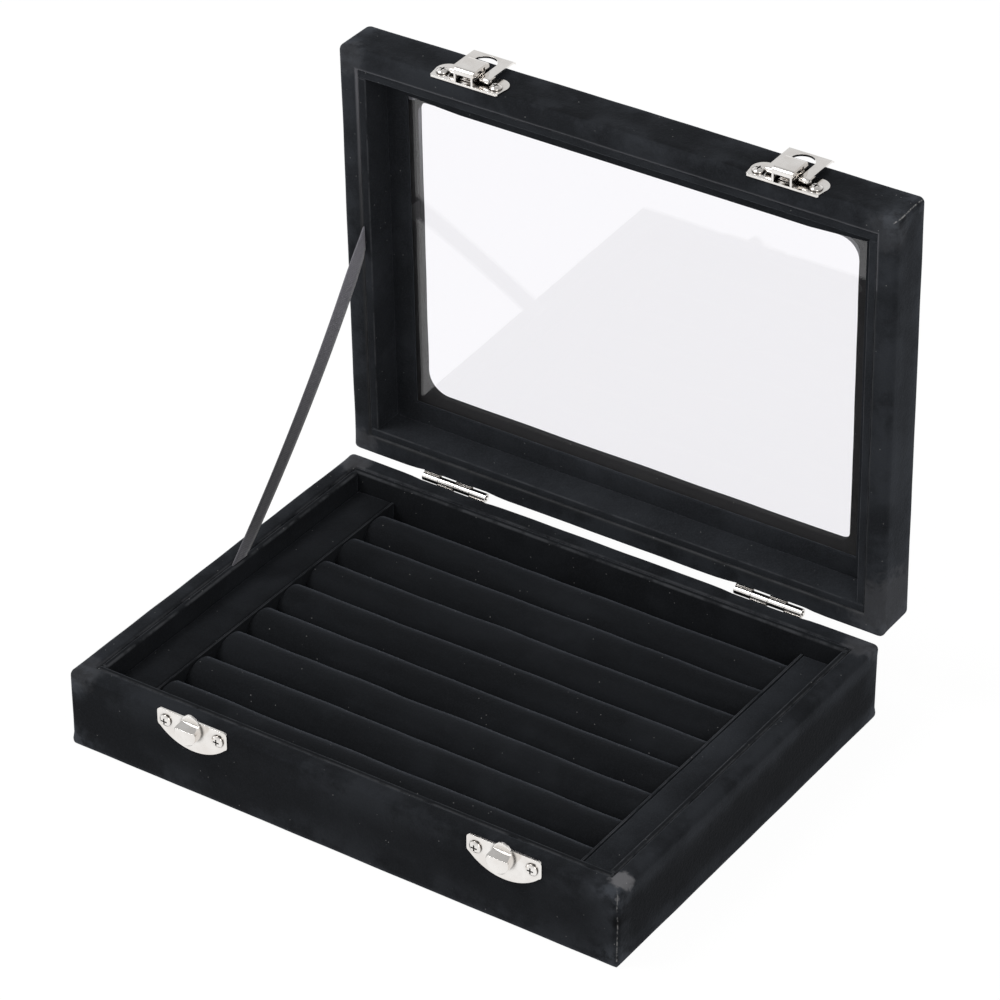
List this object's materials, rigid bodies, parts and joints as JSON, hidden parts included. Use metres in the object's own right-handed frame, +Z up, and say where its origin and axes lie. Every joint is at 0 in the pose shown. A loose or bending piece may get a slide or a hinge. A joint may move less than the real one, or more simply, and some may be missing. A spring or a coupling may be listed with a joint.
{
  "type": "ring display box",
  "caption": "Velvet-covered ring display box with padded ring rolls, a hinged glazed lid, sprung duck-bill latches and a ribbon stay.",
  "frame": {"origin": "middle of the underside of the base", "axes": "+X to the right seen from the latch side, +Y towards the hinges, +Z up"},
  "size_m": [0.2, 0.1735, 0.1857],
  "materials": {
    "cover_velvet": "short-pile velvet",
    "liner_velvet": "short-pile velvet",
    "roll_velvet": "short-pile velvet",
    "felt": "felt",
    "ribbon": "woven satin ribbon",
    "wood": "bare",
    "card": "grey board",
    "nickel": "bright nickel plate",
    "glass": "clear"
  },
  "bodies": {
    "base": {"base_front_board": "wood", "base_back_board": "wood", "base_left_board": "wood", "base_right_board": "wood", "base_floor_board": "wood", "base_velvet": "cover_velvet", "base_felt": "felt", "base_liner_front": "liner_velvet", "base_liner_back": "liner_velvet", "base_liner_left": "liner_velvet", "base_liner_right": "liner_velvet", "tray_card": "card", "end_strip_left": "roll_velvet", "end_strip_right": "roll_velvet", "divider_left": "roll_velvet", "divider_right": "roll_velvet", "ring_roll_1": "roll_velvet", "ring_roll_2": "roll_velvet", "ring_roll_3": "roll_velvet", "ring_roll_4": "roll_velvet", "ring_roll_5": "roll_velvet", "ring_roll_6": "roll_velvet", "ring_roll_7": "roll_velvet", "ring_roll_8": "roll_velvet", "catch_left": "nickel", "catch_right": "nickel", "catch_screws": "nickel", "hinge_base_leaf_left": "nickel", "hinge_base_leaf_right": "nickel", "hinge_base_screws": "nickel", "hinge_pin_left": "nickel", "hinge_pin_right": "nickel", "ribbon_stay": "ribbon"},
    "lid": {"lid_front_board": "wood", "lid_back_board": "wood", "lid_left_board": "wood", "lid_right_board": "wood", "lid_panel": "wood", "lid_velvet": "cover_velvet", "glass_pane": "glass", "glass_retainer": "liner_velvet", "lid_liner_front": "liner_velvet", "lid_liner_back": "liner_velvet", "lid_liner_left": "liner_velvet", "lid_liner_right": "liner_velvet", "latch_plate_left": "nickel", "latch_plate_right": "nickel", "latch_pin_left": "nickel", "latch_pin_right": "nickel", "latch_spring_left": "nickel", "latch_spring_right": "nickel", "latch_screws": "nickel", "hinge_lid_leaf_left": "nickel", "hinge_lid_leaf_right": "nickel", "hinge_lid_screws": "nickel"},
    "flap_left": {"latch_flap_left": "nickel"},
    "flap_right": {"latch_flap_right": "nickel"}
  },
  "joints": [
    {"name": "lid_hinge", "type": "hinge", "parent": "base", "child": "lid", "pos_m": [0, 0.07693, 0.0281], "axis": [1, 0, 0], "range_deg": [0, 88.35], "deforming": ["ribbon_stay"]},
    {"name": "flap_left_pivot", "type": "hinge", "parent": "lid", "child": "flap_left", "pos_m": [-0.0533, 0.0766, 0.18198], "axis": [1, 0, 0], "range_deg": [0, 180]},
    {"name": "flap_right_pivot", "type": "hinge", "parent": "lid", "child": "flap_right", "pos_m": [0.061, 0.0766, 0.18198], "axis": [1, 0, 0], "range_deg": [0, 180]}
  ]
}
